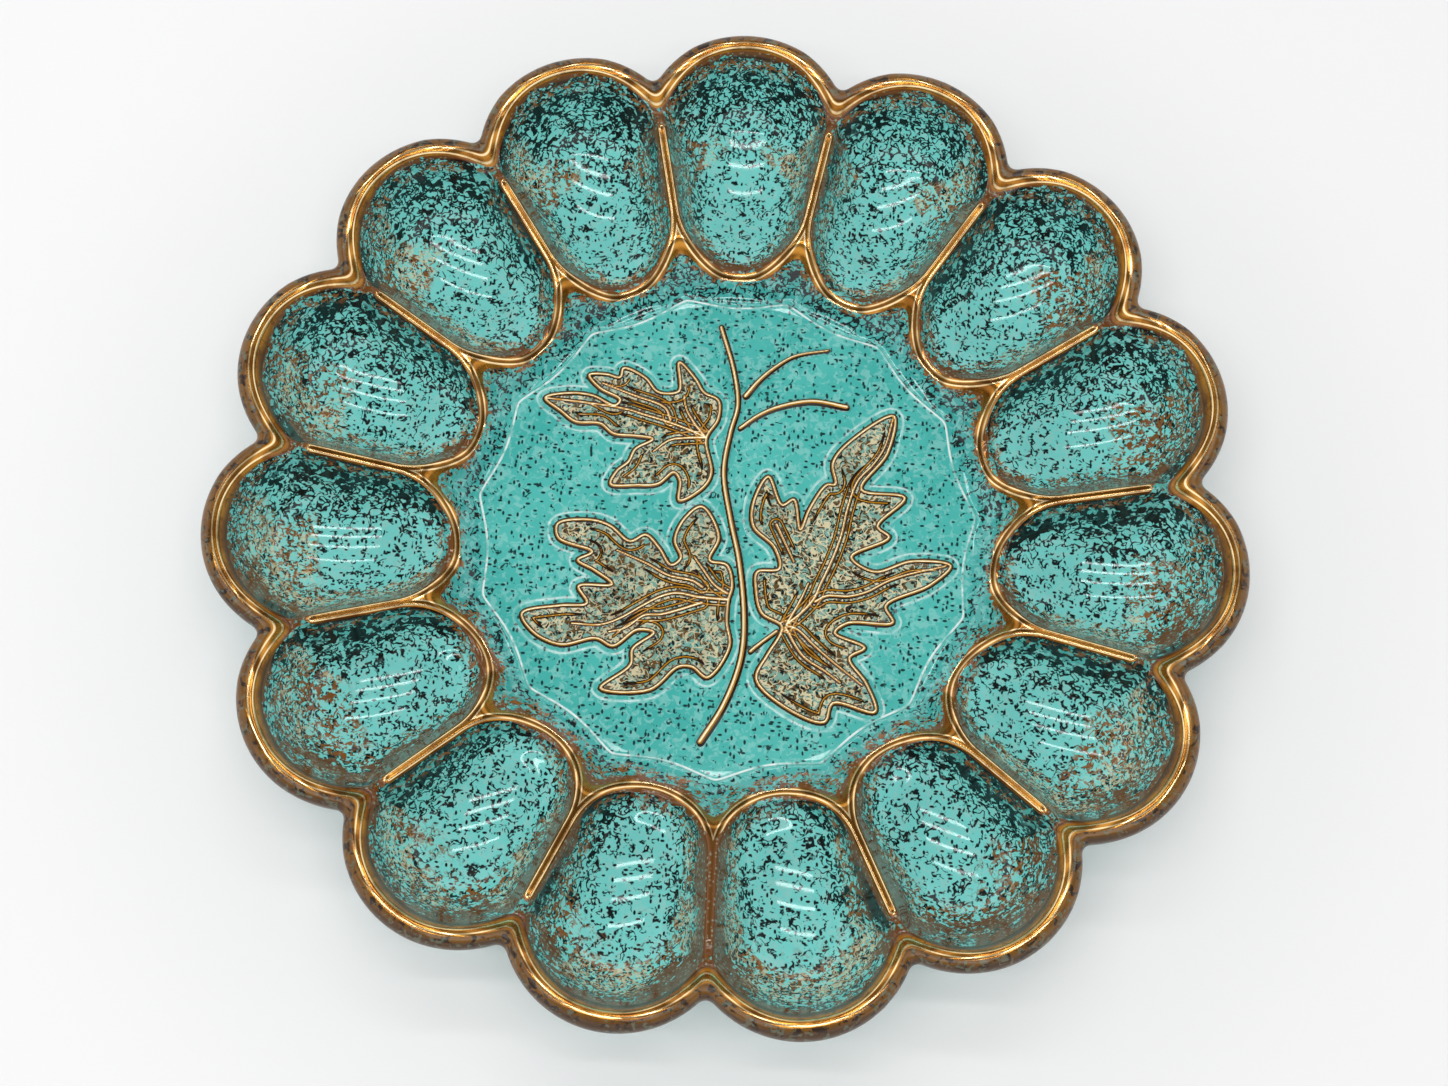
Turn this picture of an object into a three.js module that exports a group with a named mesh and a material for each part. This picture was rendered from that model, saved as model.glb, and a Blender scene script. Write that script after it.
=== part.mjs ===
// Scalloped serving tray for stuffed eggs: a ring of egg cups around a shallow dish with a maple sprig.
// Millimetres, +Z up, height zero is the table, the tray axis is the Z axis, the first cup lies along +Y.
import * as THREE from 'three';

// Outline and rim
const CUP_COUNT = 15;
const RIM_RADIUS = 162; // tray axis to the outermost point of a scallop
const SCALLOP_RADIUS = 35; // outside radius of one scallop
const NOTCH_BLEND = 6; // softening where two scallops meet
const RIM_HEIGHT = 42; // top of the rim above the table
const RIM_WIDTH = 8; // rim band along the tray radius
const ROLL_WIDTH = 4.8; // rim crest to its outer edge, level
const ROLL_DROP = 5; // rim crest to its outer edge, upright

// Cups and the ridges between them
const CUP_LENGTH = 76; // outer edge of a scallop to the inner crest of its cup
const CUP_FLOOR = 6.5; // lowest point of a hollow above the table
const BOWL_POWER = 2.6; // roundness of a hollow, a larger value gives a flatter bottom
const RIDGE_FALL = 0.3; // fall of the ridge tops towards the axis
const CREST_DIP = 7; // extra fall of the crest at the inner end of a cup
const DIP_REACH = 22; // how far outward that dip fades
const RIDGE_PEAK = 3; // how far the hollows would rise past the ridge tops, sets the ridge width
const LAND_LENGTH = 13; // three-way lands reach this far between the cups

// Centre dish and body
const DISH_FLOOR = 9.5;
const DISH_WALL_RUN = 8; // level distance from the inner crest to the dish floor
const FLUTE = 2; // depth of the flutes in the dish wall
const CLAY = 4.5; // body thickness
const WEB = 9; // ridge top to its underside
const SOFTEN = 3; // rounding of ridges and crests
const UNDER_SOFTEN = 2; // rounding of the underside

// Foot
const FOOT_RADIUS = 70;
const FOOT_WIDTH = 7;
const FOOT_TAPER = 1.2; // each side of the ring leans in by this much towards the table

// Sprig in relief
const LEAF_RELIEF = 1.2;
const STEM_RELIEF = 1.6;
const SPRIG_MARGIN = 3; // free floor around the sprig
const DRAWN_REACH = 75; // reach of the leaf points below, as drawn

const GAP = 0.3; // seam between neighbouring solids

// Facets of one cup's share of each border, the same on both sides of a seam
const RIM_STEPS = 10;
const RIDGE_STEPS = 4;
const END_STEPS = 6;

const HALF_PITCH = Math.PI / CUP_COUNT;
const SCALLOP_CENTRE = RIM_RADIUS - SCALLOP_RADIUS;
const INNER_CREST = RIM_RADIUS - CUP_LENGTH;
const END_CENTRE = INNER_CREST / (1 - Math.sin(HALF_PITCH));
const DISH_RADIUS = INNER_CREST - DISH_WALL_RUN;
const DISH_UNDERSIDE = DISH_FLOOR - CLAY;

const clamp = THREE.MathUtils.clamp;
const smoothstep = THREE.MathUtils.smoothstep;

function smoothMin(a, b, width) {
  const share = Math.max(width - Math.abs(a - b), 0) / width;
  return Math.min(a, b) - (share * share * width) / 4;
}

// Angle from the axis of the nearest cup, between minus and plus half a pitch.
function cupAngle(angle) {
  const pitch = 2 * HALF_PITCH;
  return angle - pitch * Math.round(angle / pitch);
}

function flower(angle) {
  return (1 - Math.cos(CUP_COUNT * angle)) / 2;
}

function scallop(angle) {
  const across = SCALLOP_CENTRE * Math.sin(angle);
  const reach = Math.sqrt(Math.max(SCALLOP_RADIUS * SCALLOP_RADIUS - across * across, 0));
  return SCALLOP_CENTRE * Math.cos(angle) + reach;
}

function outerRadius(angle) {
  const own = Math.abs(cupAngle(angle));
  return -smoothMin(-scallop(own), -scallop(2 * HALF_PITCH - own), NOTCH_BLEND);
}

function dishFloorRadius(angle) {
  return DISH_RADIUS + 2 * FLUTE * flower(angle);
}

function dishEdge(angle) {
  return INNER_CREST + LAND_LENGTH * flower(angle) ** 2;
}

// The ridge and rim tops lie on a cone.
function ridgeHeight(radius) {
  const inward = RIM_RADIUS - ROLL_WIDTH - Math.max(radius, INNER_CREST);
  return RIM_HEIGHT - RIDGE_FALL * Math.max(inward, 0);
}

// The crest follows that cone, dips at the inner end of each cup and rises clear of the dish.
function crestHeight(radius, angle) {
  const near = 1 - smoothstep(radius, INNER_CREST, INNER_CREST + DIP_REACH);
  const dip = CREST_DIP * near * (1 - flower(angle) ** 2);
  return ridgeHeight(radius) - dip + Math.max(INNER_CREST - radius, 0);
}

// Place inside a cup: share is 0 on its middle line and 1 on its border, at the radius and angle given here.
function placeInCup(radius, angle, endRadius) {
  const own = Math.abs(cupAngle(angle));
  const along = radius * Math.cos(own);
  const across = radius * Math.sin(own);
  const inner = Math.min(END_CENTRE, SCALLOP_CENTRE);
  const outer = Math.max(END_CENTRE, SCALLOP_CENTRE);
  const middle = clamp(along + across * Math.tan(HALF_PITCH), inner, outer);
  const ahead = along - middle;
  const distance = Math.max(Math.hypot(ahead, across), 1e-6);
  const facing = (across * Math.cos(HALF_PITCH) - ahead * Math.sin(HALF_PITCH)) / distance;
  let reach = middle * Math.sin(HALF_PITCH);
  if (middle === outer) {
    reach = smoothMin(reach / Math.max(facing, 0.05), endRadius, SOFTEN);
  }
  const borderAlong = middle + (reach * ahead) / distance;
  const borderAcross = (reach * across) / distance;
  return {
    share: distance / reach,
    radius: Math.hypot(borderAlong, borderAcross),
    angle: Math.atan2(borderAcross, borderAlong),
  };
}

function dishRise(radius, angle, start) {
  const run = Math.max(radius - dishFloorRadius(angle) - start, 0) / DISH_WALL_RUN;
  return (crestHeight(INNER_CREST, angle) - DISH_FLOOR) * run ** 1.5;
}

function topHeight(radius, angle) {
  const cup = placeInCup(radius, angle, SCALLOP_RADIUS - ROLL_WIDTH);
  const depth = crestHeight(cup.radius, cup.angle) + RIDGE_PEAK - CUP_FLOOR;
  const hollow = CUP_FLOOR + depth * cup.share ** BOWL_POWER;
  const dish = DISH_FLOOR + dishRise(radius, angle, 0);
  const sides = smoothMin(hollow, dish, SOFTEN);
  const height = smoothMin(sides, crestHeight(radius, angle), SOFTEN);
  const past = clamp(1 - (outerRadius(angle) - radius) / ROLL_WIDTH, 0, 1);
  return height - ROLL_DROP * (1 - Math.sqrt(1 - past * past));
}

function underHeight(radius, angle) {
  const cup = placeInCup(radius, angle, SCALLOP_RADIUS);
  const lowest = CUP_FLOOR - CLAY;
  const hollow = lowest + (ridgeHeight(cup.radius) - WEB - lowest) * cup.share ** BOWL_POWER;
  const dish = DISH_UNDERSIDE + dishRise(radius, angle, CLAY);
  const sides = smoothMin(hollow, dish, UNDER_SOFTEN);
  return smoothMin(sides, ridgeHeight(radius) - WEB, UNDER_SOFTEN);
}

// Points are polar: radius and angle from +Y, clockwise seen from above.
function surfacePoint(polar, heightOf) {
  const x = polar.radius * Math.sin(polar.angle);
  const y = polar.radius * Math.cos(polar.angle);
  return [x, y, heightOf(polar.radius, polar.angle)];
}

// Closed solid over a plan: rings of points around one middle point, with the same count in each ring.
function planSolid(middle, topRings, underRings) {
  const count = topRings[0].length;
  const positions = [surfacePoint(middle, topHeight), surfacePoint(middle, underHeight)];
  const index = [];
  const top = [];
  const under = [];
  const store = (rings, heightOf, list) => {
    for (const ring of rings) {
      list.push(positions.length);
      for (const polar of ring) {
        positions.push(surfacePoint(polar, heightOf));
      }
    }
  };
  store(topRings, topHeight, top);
  store(underRings, underHeight, under);
  const band = (first, second, step, next) => {
    index.push(first + step, second + step, second + next);
    index.push(first + step, second + next, first + next);
  };
  for (let step = 0; step < count; step += 1) {
    const next = (step + 1) % count;
    index.push(0, top[0] + step, top[0] + next);
    index.push(1, under[0] + next, under[0] + step);
    for (let ring = 1; ring < top.length; ring += 1) {
      band(top[ring - 1], top[ring], step, next);
    }
    for (let ring = 1; ring < under.length; ring += 1) {
      band(under[ring], under[ring - 1], step, next);
    }
    band(top[top.length - 1], under[under.length - 1], step, next);
  }
  return indexedGeometry(positions, index);
}

function indexedGeometry(positions, index) {
  const geometry = new THREE.BufferGeometry();
  geometry.setAttribute('position', new THREE.Float32BufferAttribute(positions.flat(), 3));
  geometry.setIndex(index);
  geometry.computeVertexNormals();
  return geometry;
}

function toPolar(x, y) {
  return { radius: Math.hypot(x, y), angle: Math.atan2(x, y) };
}

// Border of the first cup, counter-clockwise seen from above: dish side, right ridge, rim, left ridge.
function cupBorder() {
  const border = [];
  const seam = (radius) => HALF_PITCH - Math.asin(GAP / 2 / radius);
  const add = (radius, angle) => border.push({ radius, angle });
  for (let step = 0; step < END_STEPS; step += 1) {
    const angle = ((2 * step) / END_STEPS - 1) * seam(INNER_CREST + LAND_LENGTH);
    add(dishEdge(angle) + GAP / 2, angle);
  }
  const ridgeStart = dishEdge(HALF_PITCH) + GAP / 2;
  const ridgeEnd = outerRadius(HALF_PITCH) - RIM_WIDTH - GAP / 2;
  for (let step = 0; step < RIDGE_STEPS; step += 1) {
    const radius = ridgeStart + ((ridgeEnd - ridgeStart) * step) / RIDGE_STEPS;
    add(radius, seam(radius));
  }
  for (let step = 0; step < RIM_STEPS; step += 1) {
    const angle = (1 - (2 * step) / RIM_STEPS) * seam(ridgeEnd);
    add(outerRadius(angle) - RIM_WIDTH - GAP / 2, angle);
  }
  for (let step = 0; step < RIDGE_STEPS; step += 1) {
    const radius = ridgeEnd + ((ridgeStart - ridgeEnd) * step) / RIDGE_STEPS;
    add(radius, -seam(radius));
  }
  return border;
}

function cupGeometry() {
  const centre = (END_CENTRE + SCALLOP_CENTRE) / 2;
  const border = cupBorder();
  const ring = (share) => border.map((polar) => {
    const x = polar.radius * Math.sin(polar.angle) * share;
    const y = centre + (polar.radius * Math.cos(polar.angle) - centre) * share;
    return toPolar(x, y);
  });
  const rings = [0.35, 0.62, 0.84, 1].map(ring);
  return planSolid(toPolar(0, centre), rings, rings);
}

function dishGeometry() {
  const count = CUP_COUNT * END_STEPS;
  const angles = Array.from({ length: count }, (_, step) => (-2 * Math.PI * step) / count);
  const ring = (share) => angles.map((angle) => {
    const start = dishFloorRadius(angle);
    const end = dishEdge(angle) - GAP / 2;
    return { radius: start + (end - start) * share, angle };
  });
  const top = [0, 0.35, 0.65, 0.85, 1].map(ring);
  const under = [0, 0.5, 1].map(ring);
  return planSolid({ radius: 0, angle: 0 }, top, under);
}

function rimGeometry() {
  const count = CUP_COUNT * RIM_STEPS;
  const innerInset = RIM_WIDTH - GAP / 2;
  const profile = [
    [innerInset, topHeight],
    [(innerInset + ROLL_WIDTH) / 2, topHeight],
    [ROLL_WIDTH, topHeight],
    [ROLL_WIDTH * 0.3, topHeight],
    [0, topHeight],
    [0, underHeight],
    [innerInset / 2, underHeight],
    [innerInset, underHeight],
  ];
  const positions = [];
  const index = [];
  for (let step = 0; step < count; step += 1) {
    const angle = (-2 * Math.PI * step) / count;
    for (const [inset, heightOf] of profile) {
      positions.push(surfacePoint({ radius: outerRadius(angle) - inset, angle }, heightOf));
    }
    const here = step * profile.length;
    const there = ((step + 1) % count) * profile.length;
    for (let point = 0; point < profile.length; point += 1) {
      const next = (point + 1) % profile.length;
      index.push(here + point, here + next, there + next);
      index.push(here + point, there + next, there + point);
    }
  }
  return indexedGeometry(positions, index);
}

function footGeometry() {
  const half = FOOT_WIDTH / 2;
  const profile = [
    [FOOT_RADIUS - half, DISH_UNDERSIDE],
    [FOOT_RADIUS - half + FOOT_TAPER, 0],
    [FOOT_RADIUS + half - FOOT_TAPER, 0],
    [FOOT_RADIUS + half, DISH_UNDERSIDE],
    [FOOT_RADIUS - half, DISH_UNDERSIDE],
  ];
  const points = profile.map(([radius, height]) => new THREE.Vector2(radius, height));
  return new THREE.LatheGeometry(points, 60).rotateX(Math.PI / 2);
}

// Sprig points, x and y on the dish floor as drawn.
const UPPER_LEFT_LEAF = [
  [-8, 31], [-4.4, 38], [-4.6, 44.4], [-9.5, 47], [-12.5, 51.5], [-18.2, 57], [-17.7, 47.2], [-21, 46],
  [-25, 46.6], [-29, 51], [-36.4, 54], [-37.4, 50.8], [-42, 51.6], [-47.6, 51], [-43.8, 46.6], [-37, 43],
  [-38.5, 41], [-46, 44], [-54, 44.4], [-61.5, 42.3], [-56, 38], [-51, 34.6], [-43, 34.4], [-38.4, 31.2],
  [-31, 30.8], [-25.6, 30], [-31, 26.4], [-33, 22], [-36.6, 18.6], [-38.4, 14], [-30, 14], [-23, 14.8],
  [-18, 19], [-16, 16.4], [-15.8, 9.6], [-8, 14.6], [-5.8, 19.5],
];
const LOWER_LEFT_LEAF = [
  [1.6, -23], [2.6, -18], [0.6, -11.2], [-5, -9.8], [-2.4, -2], [-8.4, 8], [-14, 3.4], [-16.6, -3.8],
  [-14.4, -9.6], [-17.4, -12], [-21.4, -6.6], [-26, -2.4], [-31, -4.8], [-37.6, 0], [-44, 1.7], [-54.6, -0.2],
  [-54, -5], [-43, -9], [-47.4, -12], [-42, -15], [-36, -19.4], [-46.6, -20.6], [-43.6, -26], [-52, -27.2],
  [-64, -30.4], [-60, -36.4], [-51, -40], [-40, -37.4], [-34.4, -39.6], [-27, -34], [-21.8, -34.6],
  [-28.2, -40.2], [-28.6, -45.4], [-37.6, -53.4], [-22, -53.2], [-13.4, -45.4], [-9, -45.2], [-4, -48.4],
  [2.6, -38], [1.4, -30],
];
const RIGHT_LEAF = [
  [18.8, -30.4], [12.4, -26.6], [10.2, -19], [10.4, -13], [17.4, -11.6], [15.6, -4.6], [8.6, 2], [8.2, 10],
  [12.8, 19.2], [17.6, 9.8], [21.4, 11.8], [23.8, 1.8], [26.4, 8.6], [31.8, 17.2], [34.6, 17.6], [33.6, 24.6],
  [38, 31.4], [53.2, 41.8], [51.4, 28.8], [43.2, 16.2], [57.4, 14], [48.8, 4], [52.6, 0.4], [40.6, -6.6],
  [48, -11.2], [60, -7.2], [72.6, -8.2], [66, -15], [52, -22.4], [54.4, -27.8], [40, -28.6], [36, -32],
  [45.6, -36.4], [40.8, -40], [46.4, -48], [49.4, -57], [36, -54.8], [33.4, -61], [19.6, -56], [11.4, -48],
  [14.6, -40.2], [18.4, -33.4],
];
const MAIN_STEM = [[-5.3, -69], [1.5, -57], [6.2, -42.5], [6.9, -30], [4.5, -10], [1, 4.5], [-1.8, 20],
  [-0.2, 33.5], [1.8, 43], [0, 55], [-4.8, 70]];
const UPPER_TWIG = [[4.3, 46.5], [9, 52.5], [14.5, 57.5], [20, 61], [31, 63.6]];
const LOWER_TWIG = [[2.9, 35.3], [9, 40], [15, 43], [26, 45.6], [37.5, 44.2]];
const LEAF_STALK = [[9.3, -39.2], [12.4, -36.4], [17.4, -32.3]];

const SPRIG_SCALE = (DISH_RADIUS - SPRIG_MARGIN) / DRAWN_REACH;

function relief(outline, height) {
  const shape = new THREE.Shape(outline);
  const geometry = new THREE.ExtrudeGeometry(shape, { depth: height, bevelEnabled: false });
  return geometry.translate(0, 0, DISH_FLOOR);
}

function drawnPoint([x, y]) {
  return new THREE.Vector3(x * SPRIG_SCALE, y * SPRIG_SCALE, 0);
}

function leafGeometry(points) {
  const curve = new THREE.CatmullRomCurve3(points.map(drawnPoint), true);
  const outline = curve.getPoints(points.length * 2).slice(0, -1);
  return relief(outline.map((point) => new THREE.Vector2(point.x, point.y)), LEAF_RELIEF);
}

function stemGeometry(points, startWidth, endWidth) {
  const curve = new THREE.CatmullRomCurve3(points.map(drawnPoint));
  const steps = points.length * 3;
  const left = [];
  const right = [];
  for (let step = 0; step <= steps; step += 1) {
    const share = step / steps;
    const point = curve.getPointAt(share);
    const tangent = curve.getTangentAt(share);
    const half = THREE.MathUtils.lerp(startWidth, endWidth, share) / 2;
    left.push(new THREE.Vector2(point.x - tangent.y * half, point.y + tangent.x * half));
    right.push(new THREE.Vector2(point.x + tangent.y * half, point.y - tangent.x * half));
  }
  return relief([...right, ...left.reverse()], STEM_RELIEF);
}

const group = new THREE.Group();

function addPart(name, geometry, color, roughness, metalness) {
  const material = new THREE.MeshStandardMaterial({ color, roughness, metalness });
  const mesh = new THREE.Mesh(geometry, material);
  mesh.name = name;
  group.add(mesh);
  return mesh;
}

const TURQUOISE = '#4baaa5';
const BRONZE = '#a2651f';
const LEAF_BROWN = '#6f8f7c';
const BARE_CLAY = '#d8cbb6';

addPart('rim_band', rimGeometry(), BRONZE, 0.25, 0.3);
addPart('centre_dish', dishGeometry(), TURQUOISE, 0.2, 0);
addPart('foot_ring', footGeometry(), BARE_CLAY, 0.8, 0);
for (let cup = 0; cup < CUP_COUNT; cup += 1) {
  const name = `egg_cup_${String(cup + 1).padStart(2, '0')}`;
  const mesh = addPart(name, cupGeometry(), TURQUOISE, 0.2, 0);
  mesh.rotation.z = -2 * HALF_PITCH * cup;
}
addPart('leaf_upper_left', leafGeometry(UPPER_LEFT_LEAF), LEAF_BROWN, 0.25, 0);
addPart('leaf_lower_left', leafGeometry(LOWER_LEFT_LEAF), LEAF_BROWN, 0.25, 0);
addPart('leaf_right', leafGeometry(RIGHT_LEAF), LEAF_BROWN, 0.25, 0);
addPart('sprig_stem', stemGeometry(MAIN_STEM, 3, 2), BRONZE, 0.25, 0.2);
addPart('twig_upper', stemGeometry(UPPER_TWIG, 2.6, 1.4), BRONZE, 0.25, 0.2);
addPart('twig_lower', stemGeometry(LOWER_TWIG, 2, 2.6), BRONZE, 0.25, 0.2);
addPart('leaf_stalk', stemGeometry(LEAF_STALK, 2, 1.8), BRONZE, 0.25, 0.2);

export default group;
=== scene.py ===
import math
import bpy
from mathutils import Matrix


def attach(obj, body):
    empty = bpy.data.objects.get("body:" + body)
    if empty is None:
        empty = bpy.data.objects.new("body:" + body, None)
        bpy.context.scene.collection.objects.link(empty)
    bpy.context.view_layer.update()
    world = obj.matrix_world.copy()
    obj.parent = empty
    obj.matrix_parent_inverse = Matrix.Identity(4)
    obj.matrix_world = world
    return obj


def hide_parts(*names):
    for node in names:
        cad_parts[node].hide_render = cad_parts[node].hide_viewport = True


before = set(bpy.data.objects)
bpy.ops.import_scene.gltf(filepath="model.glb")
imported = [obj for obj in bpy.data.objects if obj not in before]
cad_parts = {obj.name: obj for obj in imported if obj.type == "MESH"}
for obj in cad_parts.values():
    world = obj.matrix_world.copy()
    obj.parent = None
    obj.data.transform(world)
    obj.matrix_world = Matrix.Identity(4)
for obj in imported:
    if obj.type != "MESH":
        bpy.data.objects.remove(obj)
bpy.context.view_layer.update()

from types import SimpleNamespace

import bpy
import numpy as np
from mathutils import Matrix, Vector

# A scalloped tray for stuffed eggs: a ring of egg cups around a shallow dish with a maple sprig on its floor.
# Lengths are in millimetres until a mesh is built. Angles are measured from +Y, clockwise seen from above.
MM_PER_M = 1000

# Sizes that are the same as in the part's source
CUP_COUNT = 15
RIM_RADIUS = 162.0
SCALLOP_RADIUS = 35.0
NOTCH_BLEND = 6.0
RIM_HEIGHT = 42.0
RIM_WIDTH = 8.0
ROLL_WIDTH = 4.8  # rim crest to its outer edge, level
ROLL_DROP = 5.0  # rim crest to its outer edge, upright
CUP_LENGTH = 76.0
CUP_FLOOR = 6.5
BOWL_POWER = 2.6  # roundness of a hollow, a larger value gives a flatter bottom
RIDGE_FALL = 0.3  # fall of the ridge tops towards the axis
CREST_DIP = 7.0
DIP_REACH = 22.0
LAND_LENGTH = 13.0  # three-way lands reach this far between the cups
DISH_FLOOR = 9.5
DISH_WALL_RUN = 8.0
DISH_WALL_POWER = 1.5
FLUTE = 2.0
CLAY = 4.5
WEB = 9.0  # ridge top to its underside
SOFTEN = 3.0  # rounding of a cup's outline at its outer corners
LEAST_FACING = 0.05  # keeps those corners from running off to infinity
UNDER_SOFTEN = 2.0
FOOT_RADIUS = 70.0
FOOT_WIDTH = 7.0
FOOT_TAPER = 1.2

# Finer forms, and sizes that differ a little from the solids
RIDGE_PEAK = 3.6  # how far the hollows would rise past the ridge tops, sets the ridge width
CREST_SOFTEN = 2.0
BOWL_ALONG = 45.0  # radii of the bottom of a cup, along it and across it
BOWL_ACROSS = 24.0
BOWL_MIDDLE = 118.5  # tray axis to the lowest point of a cup
BOWL_BLEND = (0.35, 0.95)  # its bottom turns into its wall between these shares of the way to its border
SADDLE = 4.5  # dip of a ridge where it leaves the rim, how far inside the rim and how long it is
SADDLE_INSET = 10.0
SADDLE_LENGTH = 3.4
LAND_CUT = 4.5  # the dish wall reaches further out between two cups
FLUTE_SHARPNESS = 0.99  # one would bring the flutes to points
FLOOR_SAG = 1.0  # the dish floor is a little hollow, with a fine bead along its edge
BEAD_HEIGHT = 0.35
BEAD_WIDTH = 0.4
BEAD_INSET = 0.9
NOTCH_SLANT = 0.25  # how much shorter the distances square to the outline are at the notches
LIP = 2.2  # the rim's outer edge turns under by this much
FOOT_EDGE = 0.8

# Steps of the meshes, and how much closer together they lie at the ends
CUP_COLUMNS = 57
CUP_CROWDING = 0.92
CUP_ROWS = 96
ROW_CROWDING = 0.88
RIM_COLUMNS = 121
RIM_CROWDING = 0.8
RIM_TOP_ROWS = 11
ROLL_ROWS = 15
LIP_ROWS = 9
RIM_UNDER_ROWS = 8
FLOOR_SHARES = (*np.linspace(0.05, 0.92, 18), *np.linspace(0.94, 1.0, 24)[:-1])  # of the dish, and its wall
WALL_ROWS = 42
UNDER_SHARES = (0.1, 0.5, 0.9)
UNDER_ROWS = 12
FOOT_COLUMNS = 180
FOOT_EDGE_ROWS = 7
SLOPE_STEP = 0.02  # a slope is measured between two points this far to both sides
TINY = 1e-6

HALF = math.pi / CUP_COUNT
SCALLOP_CENTRE = RIM_RADIUS - SCALLOP_RADIUS
INNER_CREST = RIM_RADIUS - CUP_LENGTH
END_CENTRE = INNER_CREST / (1 - math.sin(HALF))
DISH_RADIUS = INNER_CREST - DISH_WALL_RUN
DISH_UNDERSIDE = DISH_FLOOR - CLAY


# Heights over the plan
def smooth_min(a, b, width):
    share = np.maximum(width - np.abs(a - b), 0) / width
    return np.minimum(a, b) - share * share * width / 4


def smooth_step(x, low, high):
    u = np.clip((x - low) / (high - low), 0, 1)
    return u * u * (3 - 2 * u)


def fade(x, low, high):
    return 1 - smooth_step(x, low, high)


def cup_angle(t):
    """Angle from the axis of the nearest cup."""
    return t - 2 * HALF * np.round(t / (2 * HALF))


def flower(t):
    """Zero on the axis of each cup and one between two cups."""
    return (1 - np.cos(CUP_COUNT * t)) / 2


def scallop(t):
    across = SCALLOP_CENTRE * np.sin(t)
    return SCALLOP_CENTRE * np.cos(t) + np.sqrt(np.maximum(SCALLOP_RADIUS ** 2 - across ** 2, 0))


def outer_radius(t):
    own = np.abs(cup_angle(t))
    return -smooth_min(-scallop(own), -scallop(2 * HALF - own), NOTCH_BLEND)


def rim_inset(r, t):
    """Distance inside the scalloped outline, about square to it."""
    return (outer_radius(t) - r) * (1 - NOTCH_SLANT * flower(t) ** 2)


def floor_radius(t):
    return DISH_RADIUS + 2 * FLUTE * (1 - np.sqrt(1 - FLUTE_SHARPNESS * flower(t)))


def dish_edge(t):
    return INNER_CREST + LAND_LENGTH * flower(t) ** 2


def ridge_height(r):
    """The ridge and rim tops lie on a cone."""
    inward = RIM_RADIUS - ROLL_WIDTH - np.maximum(r, INNER_CREST)
    return RIM_HEIGHT - RIDGE_FALL * np.maximum(inward, 0)


def crest_height(r, t):
    """The crest dips at the inner end of each cup and at the saddles, and rises clear of the dish."""
    dip = CREST_DIP * fade(r, INNER_CREST, INNER_CREST + DIP_REACH) * (1 - flower(t) ** 2)
    from_saddle = (outer_radius(t) - SADDLE_INSET - r) / SADDLE_LENGTH
    dip = dip + SADDLE * np.exp(-from_saddle ** 2) * flower(t) ** 4
    return ridge_height(r) - dip + np.maximum(INNER_CREST - r, 0)


def place_in_cup(r, t, end):
    """Place in a cup with the given radius at its outer end: the share of the way from its middle line to its
    border, the radius and angle of that border, the distance to it, and the rise of a rounded bottom."""
    own = np.abs(cup_angle(t))
    along, across = r * np.cos(own), r * np.sin(own)
    middle = np.clip(along + across * math.tan(HALF), END_CENTRE, SCALLOP_CENTRE)
    ahead = along - middle
    distance = np.maximum(np.hypot(ahead, across), TINY)
    facing = (across * math.cos(HALF) - ahead * math.sin(HALF)) / distance
    reach = middle * math.sin(HALF)
    reach_at_end = smooth_min(reach / np.maximum(facing, LEAST_FACING), end, SOFTEN)
    reach = np.where(middle >= SCALLOP_CENTRE, reach_at_end, reach)
    border_along = middle + reach * ahead / distance
    border_across = reach * across / distance
    return SimpleNamespace(
        share=distance / reach,
        border_r=np.hypot(border_along, border_across),
        border_t=np.arctan2(border_across, border_along),
        off_border=reach - distance,
        bottom=(along - BOWL_MIDDLE) ** 2 / (2 * BOWL_ALONG) + across ** 2 / (2 * BOWL_ACROSS),
    )


def wall_run(t, cut):
    return DISH_WALL_RUN + cut * flower(t) ** 4


def dish_rise(r, t, start, cut=0.0):
    run = np.maximum(r - floor_radius(t) - start, 0) / wall_run(t, cut)
    return (crest_height(INNER_CREST, t) - DISH_FLOOR) * run ** DISH_WALL_POWER


def dish_floor(r):
    return DISH_FLOOR - FLOOR_SAG * np.maximum(1 - (r / DISH_RADIUS) ** 2, 0)


def top_height(r, t):
    cup = place_in_cup(r, t, SCALLOP_RADIUS - ROLL_WIDTH)
    wall = (crest_height(cup.border_r, cup.border_t) + RIDGE_PEAK - CUP_FLOOR) * cup.share ** BOWL_POWER
    hollow = CUP_FLOOR + cup.bottom + (wall - cup.bottom) * smooth_step(cup.share, *BOWL_BLEND)
    floor_bead = BEAD_HEIGHT * np.exp(-((r - floor_radius(t) + BEAD_INSET) / BEAD_WIDTH) ** 2)
    dish = dish_floor(r) + floor_bead + dish_rise(r, t, 0, LAND_CUT)
    height = smooth_min(smooth_min(hollow, dish, CREST_SOFTEN), crest_height(r, t), CREST_SOFTEN)
    past = np.clip(1 - (outer_radius(t) - r) / ROLL_WIDTH, 0, 1)
    return height - ROLL_DROP * (1 - np.sqrt(1 - past * past))


def under_height(r, t):
    cup = place_in_cup(r, t, SCALLOP_RADIUS)
    lowest = CUP_FLOOR - CLAY
    hollow = lowest + (ridge_height(cup.border_r) - WEB - lowest) * cup.share ** BOWL_POWER
    dish = DISH_UNDERSIDE + dish_rise(r, t, CLAY)
    return smooth_min(smooth_min(hollow, dish, UNDER_SOFTEN), ridge_height(r) - WEB, UNDER_SOFTEN)


def unit(v):
    return v / np.maximum(np.linalg.norm(v, axis=-1, keepdims=True), TINY ** 2)


def around_axis(r, t, z):
    return np.stack([r * np.sin(t), r * np.cos(t), z], -1)


def on_surface(height, r, t):
    return around_axis(r, t, height(r, t))


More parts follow.
